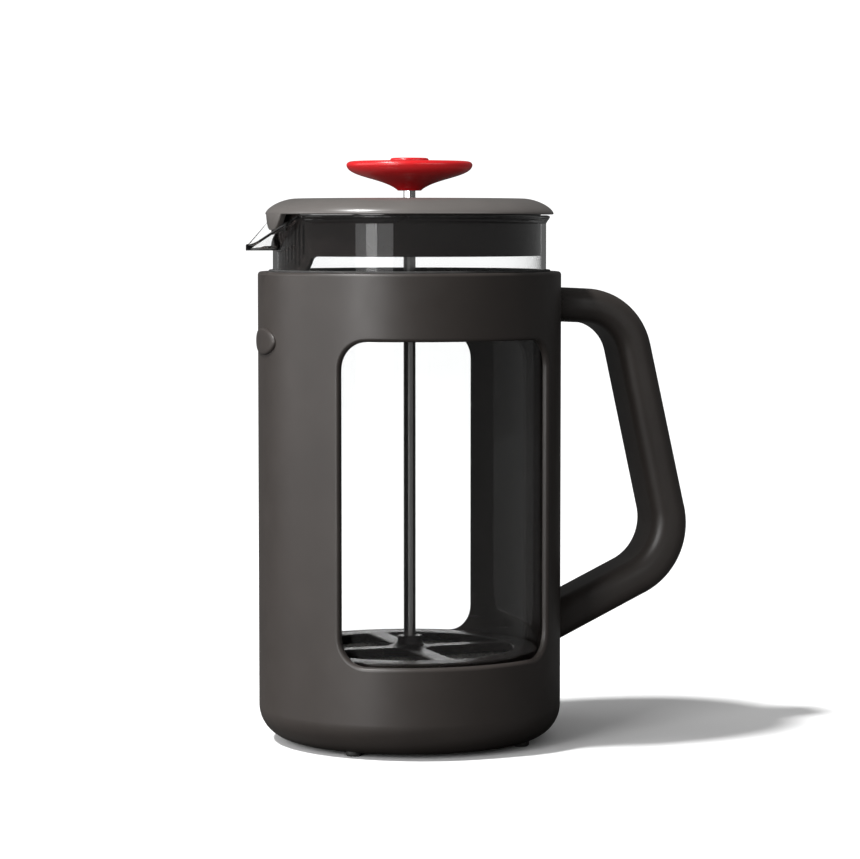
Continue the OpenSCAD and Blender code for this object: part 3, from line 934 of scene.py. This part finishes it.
def rod_bush():
    bore, body, neck, lip = ROD_R + 0.05, LID_HOLE - 0.05, 2.9, BUSH_HIGH.x
    low, high = BUSH_LOW.z, BUSH_HIGH.z
    seat = LID_TOP + 0.05
    profile = rounded([(bore, low, 0.1), (lip, low, 0.25), (lip, low + 0.85, 0.15), (body, low + 0.85),
                       (body, seat), (neck, seat, 0.05), (neck, high, 0.18), (bore, high, 0.1)], 4, 0.03)
    return finish_piece(lathe("bush_sleeve", profile, 64), DARK, "dark_plastic", "bush", "rod_bush")


# ---------------------------------------------------------------- plunger

def rod():
    profile = rounded([(0, ROD_LOW.z), (ROD_R, ROD_LOW.z, 0.4), (ROD_R, ROD_HIGH.z, 0.3), (0, ROD_HIGH.z)])
    return finish_piece(lathe("rod_shaft", profile, 64), STEEL, "steel", "plunger", "rod")


def knob():
    low, top = KNOB_LOW.z, KNOB_HIGH.z
    well = CAP_R + 0.12
    hole = ROD_R + 0.05
    profile = [(hole, low + 0.1), (hole + 0.2, low), (3.9, low)]
    profile += bezier((4.0, low), (4.35, low), (4.4, low + 0.05), (4.6, low + 0.35), 4)
    profile += bezier((4.6, low + 0.35), (10, low + 4.6), (22.5, KNOB_EDGE - 4.4), (KNOB_R, KNOB_EDGE),
                      40)[1:]
    profile += bezier((KNOB_R, KNOB_EDGE), (KNOB_R, 211.6), (22.2, 212.1), (20.5, 212.15), 10)[1:]
    profile += bezier((20.5, 212.15), (16, 212.27), (12, 212.33), (well + 0.6, top), 8)[1:]
    profile += bezier((well + 0.3, top), (well + 0.05, top), (well, top - 0.05), (well, top - 0.3), 4)
    profile += [(well, CAP_LOW.z), (hole, CAP_LOW.z)]
    ob = lathe("knob_disc", profile, 192)
    sharpen(ob, 60)
    return finish_piece(ob, RED, "red_plastic", "plunger", "knob")


def knob_cap():
    low, high = CAP_LOW.z, CAP_HIGH.z
    profile = [(0, low), (CAP_R, low), (CAP_R, high - 0.95)]
    profile += bezier((CAP_R, high - 0.85), (CAP_R, high - 0.35), (CAP_R - 0.3, high - 0.1),
                      (CAP_R - 1.2, high - 0.05), 8)
    profile += [(CAP_R * 0.5, high - 0.01), (0, high)]
    ob = lathe("knob_button", profile, 96)
    sharpen(ob, 60)
    return finish_piece(ob, RED, "red_plastic", "plunger", "knob_cap")


def quadrant_hole(ring_r, hub_r, half, soft, turn):
    """Outline of the gap between two spokes, with round corners. half is half a spoke's width."""
    outer = Vector((math.sqrt((ring_r - soft) ** 2 - (half + soft) ** 2), half + soft))
    inner = Vector((math.sqrt((hub_r + soft / 2) ** 2 - (half + soft / 2) ** 2), half + soft / 2))
    a_out = math.degrees(math.atan2(outer.y, outer.x))
    a_in = math.degrees(math.atan2(inner.y, inner.x))
    pts = arc(outer, soft, -90, a_out, 8)
    pts += arc((0, 0), ring_r, a_out, 90 - a_out, 18)[1:-1]
    pts += arc((outer.y, outer.x), soft, 90 - a_out, 180, 8)
    pts += arc((inner.y, inner.x), soft / 2, 180, 270 - a_in, 5)
    pts += arc((0, 0), hub_r, 90 - a_in, a_in, 6)[1:-1]
    pts += arc(inner, soft / 2, 180 + a_in, 270, 5)
    c, s = math.cos(turn), math.sin(turn)
    return [Vector((p.x * c - p.y * s, p.x * s + p.y * c)) for p in pts]


def spoked_wheel(name, r, z_low, z_high, edge):
    """A flat wheel with four spokes along X and Y and every edge rounded."""
    curve = bpy.data.curves.new(name, "CURVE")
    curve.dimensions = "2D"
    curve.fill_mode = "BOTH"
    curve.extrude = ((z_high - z_low) / 2 - edge) * MM
    curve.bevel_depth = edge * MM
    curve.bevel_resolution = 3
    outlines = [arc((0, 0), r - edge, 0, 360, 192)[:-1]]
    for k in range(4):
        outlines.append(quadrant_hole(r - RIM_W + edge, HUB_R + HUB_FILLET - edge, SPOKE_W / 2 - edge, 3.0,
                                      math.pi / 2 * k)[::-1])
    outlines.append(arc((0, 0), ROD_R + 0.1 + edge, 360, 0, 32)[:-1])
    for points in outlines:
        spline = curve.splines.new("POLY")
        spline.points.add(len(points) - 1)
        for sp, p in zip(spline.points, points):
            sp.co = (p.x * MM, p.y * MM, 0, 1)
        spline.use_cyclic_u = True
    ob = put(name, curve)
    bpy.context.view_layer.update()
    mesh = bpy.data.meshes.new_from_object(ob.evaluated_get(bpy.context.evaluated_depsgraph_get()))
    bpy.data.objects.remove(ob)
    bm = bmesh.new()
    bm.from_mesh(mesh)
    bmesh.ops.remove_doubles(bm, verts=bm.verts, dist=WELD)
    bmesh.ops.recalc_face_normals(bm, faces=bm.faces)
    bmesh.ops.translate(bm, verts=bm.verts, vec=(0, 0, (z_low + z_high) / 2 * MM))
    bm.to_mesh(mesh)
    bm.free()
    return stand(name, mesh)


def spider_plate():
    wheel = spoked_wheel("top_wheel", PLATE_R, PLATE_LOW.z, PLATE_TOP, 0.6)
    sharpen(wheel, 40)
    finish_piece(wheel, DARK, "dark_plastic", "plunger", "spider_plate")
    hole = ROD_R + 0.05
    foot = HUB_R + HUB_FILLET
    skirt = foot + 0.6
    profile = [(hole, PLATE_TOP - 0.9), (skirt, PLATE_TOP - 0.9), (skirt, PLATE_TOP - 0.02)]
    profile += arc((foot, PLATE_TOP + HUB_FILLET), HUB_FILLET, -90, -180, 10)
    profile += arc((HUB_R - 0.6, HUB_TOP - 0.6), 0.6, 0, 90, 5)
    profile += [(hole + 0.3, HUB_TOP), (hole, HUB_TOP - 0.3)]
    hub = lathe("top_hub", profile, 72)
    sharpen(hub, 50)
    finish_piece(hub, DARK, "dark_plastic", "plunger")


def lower_plate():
    wheel = spoked_wheel("lower_wheel", LOWER_HIGH.x, LOWER_LOW.z, LOWER_HIGH.z, 0.4)
    sharpen(wheel, 40)
    finish_piece(wheel, DARK, "dark_plastic", "plunger", "lower_plate")


def mesh_screen():
    """Plain-weave wire cloth: each wire passes over and under those that cross it."""
    r_all, wire, pitch = MESH_HIGH.x - 0.15, 0.16, 1.0
    z = (MESH_LOW.z + MESH_HIGH.z) / 2
    sides = 3
    patches = []
    count = int(r_all / pitch)
    for axis in (0, 1):
        for i in range(-count, count + 1):
            off = i * pitch
            half = math.sqrt(max(r_all ** 2 - off ** 2, 0))
            inner = math.sqrt(max((ROD_R + 0.4) ** 2 - off ** 2, 0))
            runs = [(-half, half)] if inner == 0 else [(-half, -inner), (inner, half)]
            for a, b in runs:
                steps = max(2, round((b - a) / (pitch / 2)))
                rings = []
                for k in range(steps + 1):
                    t = a + (b - a) * k / steps
                    phase = math.pi * (t / pitch + i + axis)
                    h = z + wire * math.cos(phase)
                    ring = []
                    for c in range(sides):
                        ang = math.tau * c / sides + math.pi / 2
                        side, up = off + wire * math.cos(ang), h + wire * math.sin(ang)
                        ring.append((t, side, up) if axis == 0 else (side, t, up))
                    rings.append(ring)
                v, f = skin(rings)
                f += [[0, 1, 2], [len(v) - 1, len(v) - 2, len(v) - 3]]
                patches.append((v, f))
    verts, faces = merge(*patches)
    ob = stand("wire_cloth", points_mesh("wire_cloth", verts, faces))
    return finish_piece(ob, WIRE, "steel", "plunger", "mesh_screen")


def edge_spring():
    """A close-wound coil bent into a ring round the filter."""
    coil = (COIL_HIGH.z - COIL_LOW.z) / 2
    wire = 0.2
    z = (COIL_HIGH.z + COIL_LOW.z) / 2
    big = COIL_HIGH.x - coil
    coil -= wire
    turns, steps, sides = 300, 10, 5
    rings = []
    for i in range(turns * steps):
        a = math.tau * i / (turns * steps)
        b = math.tau * i / steps
        out = Vector((math.cos(a), math.sin(a), 0))
        up = Vector((0, 0, 1))
        centre = out * (big + coil * math.cos(b)) + up * (z + coil * math.sin(b))
        radial = out * math.cos(b) + up * math.sin(b)
        side = Vector((-math.sin(a), math.cos(a), 0))
        rings.append([tuple(centre + radial * (wire * math.cos(math.tau * c / sides))
                            + side * (wire * math.sin(math.tau * c / sides))) for c in range(sides)])
    verts, faces = skin(rings, closed_loop=True)
    ob = make("edge_coil", verts, faces)
    return finish_piece(ob, WIRE, "steel", "plunger", "edge_spring")


sleeve()
handle()
badge()
feet()
collar()
base_pad()
carafe()
lid_cover()
lid_skirt()
rod_bush()
rod()
knob()
knob_cap()
spider_plate()
lower_plate()
mesh_screen()
edge_spring()

KEPT = (("handle_screws", STEEL), ("knob_insert", BRASS), ("hub_insert", BRASS), ("clamp_nut", STEEL))
for node, mat in KEPT:
    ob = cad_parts[node]
    ob.data.materials.clear()
    ob.data.materials.append(mat)


# ---------------------------------------------------------------- floor, light and camera

CAMERA_TURN = math.radians(-18.7)
CAMERA_FAR = 1.1306
CAMERA_UP = 0.1894
AIM_UP = 0.1139
AIM_RIGHT = 0.0075
LENS = 129.1
AIM_LAMPS = 0.1
SKY_SEEN, SKY_DIFFUSE, SKY_GLOSS = 1.15, 0.33, 0.12
FLOOR_BOUNCE = 0.06


def bounced(tree):
    """0 for what the camera sees, also through clear pieces, and 1 for light that has left a surface."""
    path = tree.nodes.new("ShaderNodeLightPath")
    total = tree.nodes.new("ShaderNodeMath")
    total.operation = "ADD"
    total.use_clamp = True
    tree.links.new(path.outputs["Diffuse Depth"], total.inputs[0])
    tree.links.new(path.outputs["Glossy Depth"], total.inputs[1])
    return total.outputs[0]


def floor():
    half = 6.0
    corners = [(x * half, y * half, 0) for x, y in ((-1, -1), (1, -1), (1, 1), (-1, 1))]
    mesh = bpy.data.meshes.new("floor")
    mesh.from_pydata(corners, [], [(0, 1, 2, 3)])
    ob = put("floor", mesh)
    mat, tree, shader = material("pale_floor")
    tone = spread(tree, noise(tree, 3, 2), 0, 1)
    pale = blend_colours(tree, tone, (0.82, 0.82, 0.82), (0.84, 0.84, 0.84))
    fill(tree, shader, Base_Color=pale, Roughness=0.9, Specular_IOR_Level=0.0)
    # the floor throws less light back at the press than it shows
    dim = add(tree, "ShaderNodeBsdfDiffuse", Color=(FLOOR_BOUNCE, FLOOR_BOUNCE, FLOOR_BOUNCE, 1))
    mix = mix_shaders(tree, bounced(tree), shader, dim)
    fill(tree, tree.nodes["Material Output"], Surface=mix.outputs[0])
    ob.data.materials.append(mat)


def lamp_way(turn, tilt):
    """Direction of a lamp, so many degrees left (-) or right (+) of the camera and above the floor."""
    a, e = CAMERA_TURN + math.radians(turn), math.radians(tilt)
    return Vector((math.sin(a) * math.cos(e), -math.cos(a) * math.cos(e), math.sin(e)))


def softbox(name, turn, tilt, far, size, bright):
    """An area light so many metres away, aimed at the middle of the press. bright is what it looks like,
    whatever its size."""
    way = lamp_way(turn, tilt)
    data = bpy.data.lights.new(name, "AREA")
    data.shape = "RECTANGLE"
    data.size, data.size_y = size
    data.energy = bright * math.pi * size[0] * size[1]
    ob = put(name, data)
    ob.location = Vector((0, 0, AIM_LAMPS)) + way * far
    ob.rotation_euler = (-way).to_track_quat("-Z", "Y").to_euler()
    ob.visible_camera = False
    ob.visible_transmission = False
    return ob


def link_light(lamp, pieces, state):
    """Limits a lamp to some pieces (INCLUDE) or keeps it off them (EXCLUDE)."""
    group = bpy.data.collections.new(lamp.name + "_pieces")
    for piece in pieces:
        group.objects.link(bpy.data.objects[piece])
    lamp.light_linking.receiver_collection = group
    for link in group.collection_objects:
        link.light_linking.link_state = state


def sky():
    """Even studio light. The camera sees it as a white backdrop, also through clear pieces, while it is
    dimmer where it lights a surface and dimmer again where it shines off one."""
    world = bpy.data.worlds.new("studio")
    bpy.context.scene.world = world
    world.use_nodes = True
    tree = world.node_tree
    tree.nodes.clear()
    white, diffuse, gloss = (add(tree, "ShaderNodeBackground", Color=(1, 1, 1, 1), Strength=strength)
                             for strength in (SKY_SEEN, SKY_DIFFUSE, SKY_GLOSS))
    glossy = add(tree, "ShaderNodeLightPath").outputs["Is Glossy Ray"]
    shone = mix_shaders(tree, glossy, diffuse, gloss)
    mix = mix_shaders(tree, bounced(tree), white, shone)
    add(tree, "ShaderNodeOutputWorld", Surface=mix.outputs[0])


def sunlight(turn, tilt, strength, width):
    """A distant lamp, so many degrees wide."""
    way = lamp_way(turn, tilt)
    data = bpy.data.lights.new("sunlight", "SUN")
    data.energy = strength
    data.angle = math.radians(width)
    ob = put("sunlight", data)
    ob.location = way * 2
    ob.rotation_euler = (-way).to_track_quat("-Z", "Y").to_euler()


def camera():
    data = bpy.data.cameras.new("camera")
    ob = put("camera", data)
    a = CAMERA_TURN
    right = Vector((math.cos(a), math.sin(a), 0))
    ob.location = Vector((math.sin(a) * CAMERA_FAR, -math.cos(a) * CAMERA_FAR, CAMERA_UP))
    aim = right * AIM_RIGHT + Vector((0, 0, AIM_UP))
    ob.rotation_euler = (aim - ob.location).to_track_quat("-Z", "Y").to_euler()
    data.sensor_width = 36
    data.lens = LENS
    data.clip_start, data.clip_end = 0.05, 50
    bpy.context.scene.camera = ob


floor()
sky()
sunlight(-65.5, 61, 3.9, 5)
# name, turn, tilt, distance, size and brightness of each softbox, and whether it lights all but some
# pieces or only those
SOFTBOXES = [
    ("front_strip", -33, 8, 1.5, (0.5, 1.6), 9.0, "EXCLUDE", ["carafe_beaker"]),
    ("side_wall", -79, 10, 1.4, (1.7, 1.4), 2.0, "EXCLUDE", ["carafe_beaker"]),
    ("back_card", 180, 8, 1.2, (1.2, 0.5), 120.0, "INCLUDE", ["top_wheel", "top_hub"]),
    ("glass_wide", -29, 8, 1.5, (0.85, 1.6), 1.6, "INCLUDE", ["carafe_beaker"]),
    ("glass_core", -31, 8, 1.5, (0.24, 1.6), 3.6, "INCLUDE", ["carafe_beaker"]),
    ("skirt_light", -72, 8, 1.5, (1.2, 1.2), 7.0, "INCLUDE", ["skirt_wall"]),
    ("rod_light", -12, 8, 1.5, (0.3, 1.6), 11.0, "INCLUDE", ["rod_shaft"]),
    ("lid_light", -15, 34, 1.4, (1.8, 0.5), 1.8, "INCLUDE", ["lid_dome"]),
    ("right_fill", 42, 22, 1.4, (1.2, 0.8), 1.8, "INCLUDE", ["knob_disc", "knob_button", "lid_dome"]),
    ("handle_fill", 37, 10, 1.5, (0.5, 1.2), 1.0, "INCLUDE", ["handle_grip"]),
]
for name, turn, tilt, far, size, bright, state, pieces in SOFTBOXES:
    link_light(softbox(name, turn, tilt, far, size, bright), pieces, state)
camera()
bpy.context.scene.view_settings.view_transform = "Standard"
